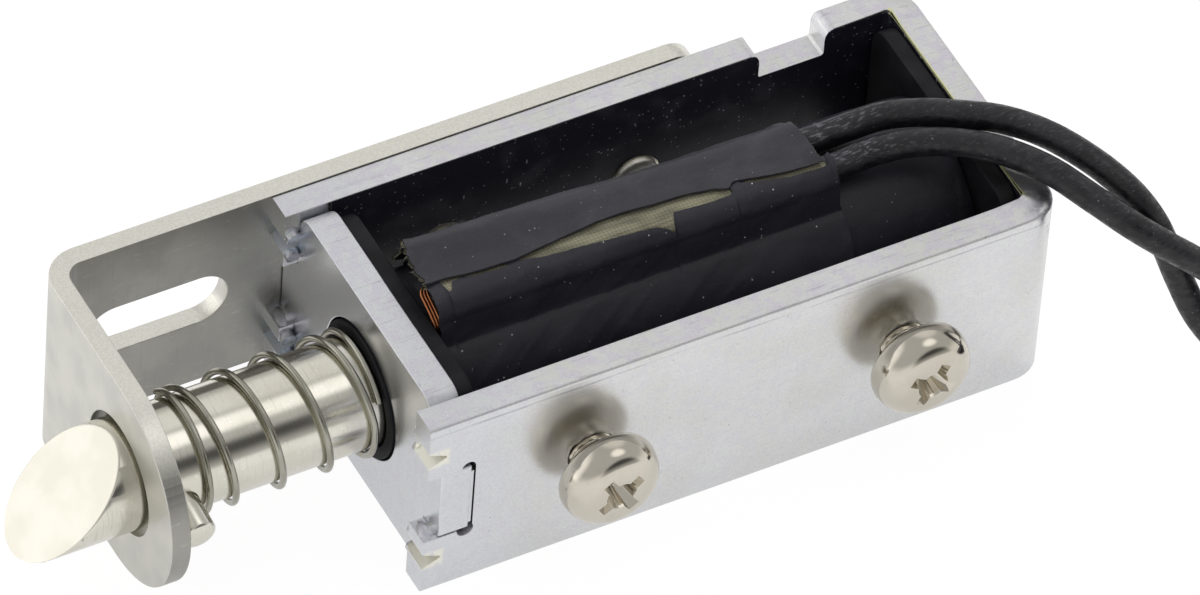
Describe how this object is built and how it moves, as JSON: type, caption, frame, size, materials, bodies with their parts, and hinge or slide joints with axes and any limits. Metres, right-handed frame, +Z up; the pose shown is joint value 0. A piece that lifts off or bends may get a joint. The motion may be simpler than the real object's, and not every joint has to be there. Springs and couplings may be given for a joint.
{
  "type": "push pull solenoid",
  "caption": "Open frame push pull solenoid with a bevelled spring return latch bolt, a slotted side bracket and free leads.",
  "frame": {"origin": "on the bolt's axis, in the outer face of the front plate", "axes": "+X along the bolt's axis from the bevelled tip to the rear wall, +Y towards the mounting bracket, +Z up through the open side of the yoke"},
  "size_m": [0.0915, 0.04, 0.0151],
  "materials": {
    "zinc_plate": "satin bright zinc plating on steel strip, bluish white",
    "stainless": "matt rolled stainless strip with bright sheared edges",
    "nickel_bolt": "turned steel, nickel plated, warm shine with fine scratches",
    "nickel_screw": "bright nickel plated screw",
    "spring_wire": "drawn stainless spring wire",
    "core_iron": "turned soft iron",
    "shim_brass": "thin rolled brass",
    "copper_wire": "enamelled copper wire",
    "solder": "tinned and soldered copper strands",
    "black_nylon": "moulded black nylon",
    "black_tape": "black insulating tape, slightly glossy, with dust",
    "charcoal_tape": "charcoal insulating tape, satin",
    "woven_cloth": "olive beige woven glass cloth",
    "lead_insulation": "black flexible lead insulation",
    "tie_plastic": "black paper covered wire tie"
  },
  "bodies": {
    "solenoid_body": {"yoke": "zinc_plate", "front_plate": "zinc_plate", "bobbin": "black_nylon", "winding": "copper_wire", "coil_tape": "black_tape", "cloth_strip": "woven_cloth", "hold_tape": "black_tape", "splice_cover": "charcoal_tape", "lead_joints": "solder", "winding_tails": "copper_wire", "lead_wire_a": "lead_insulation", "lead_wire_b": "lead_insulation", "lead_coil_a": "lead_insulation", "lead_coil_b": "lead_insulation", "lead_tie": "tie_plastic", "tinned_ends": "solder", "fixed_core": "core_iron", "core_shim": "shim_brass", "mounting_bracket": "stainless", "bracket_screws": "nickel_screw", "side_screws": "nickel_screw"},
    "spring": {"return_spring": "spring_wire"},
    "bolt": {"latch_bolt": "nickel_bolt", "cross_pin": "nickel_bolt"}
  },
  "joints": [
    {"name": "bolt_turn", "type": "hinge", "parent": "solenoid_body", "child": "spring", "pos_m": [0, 0, 0], "axis": [1, 0, 0], "continuous": true},
    {"name": "bolt_stroke", "type": "slide", "parent": "spring", "child": "bolt", "axis": [1, 0, 0], "range_m": [0, 0.006], "stiffness_N_per_m": 150, "springref_m": -0.006, "deforming": ["return_spring"]}
  ]
}
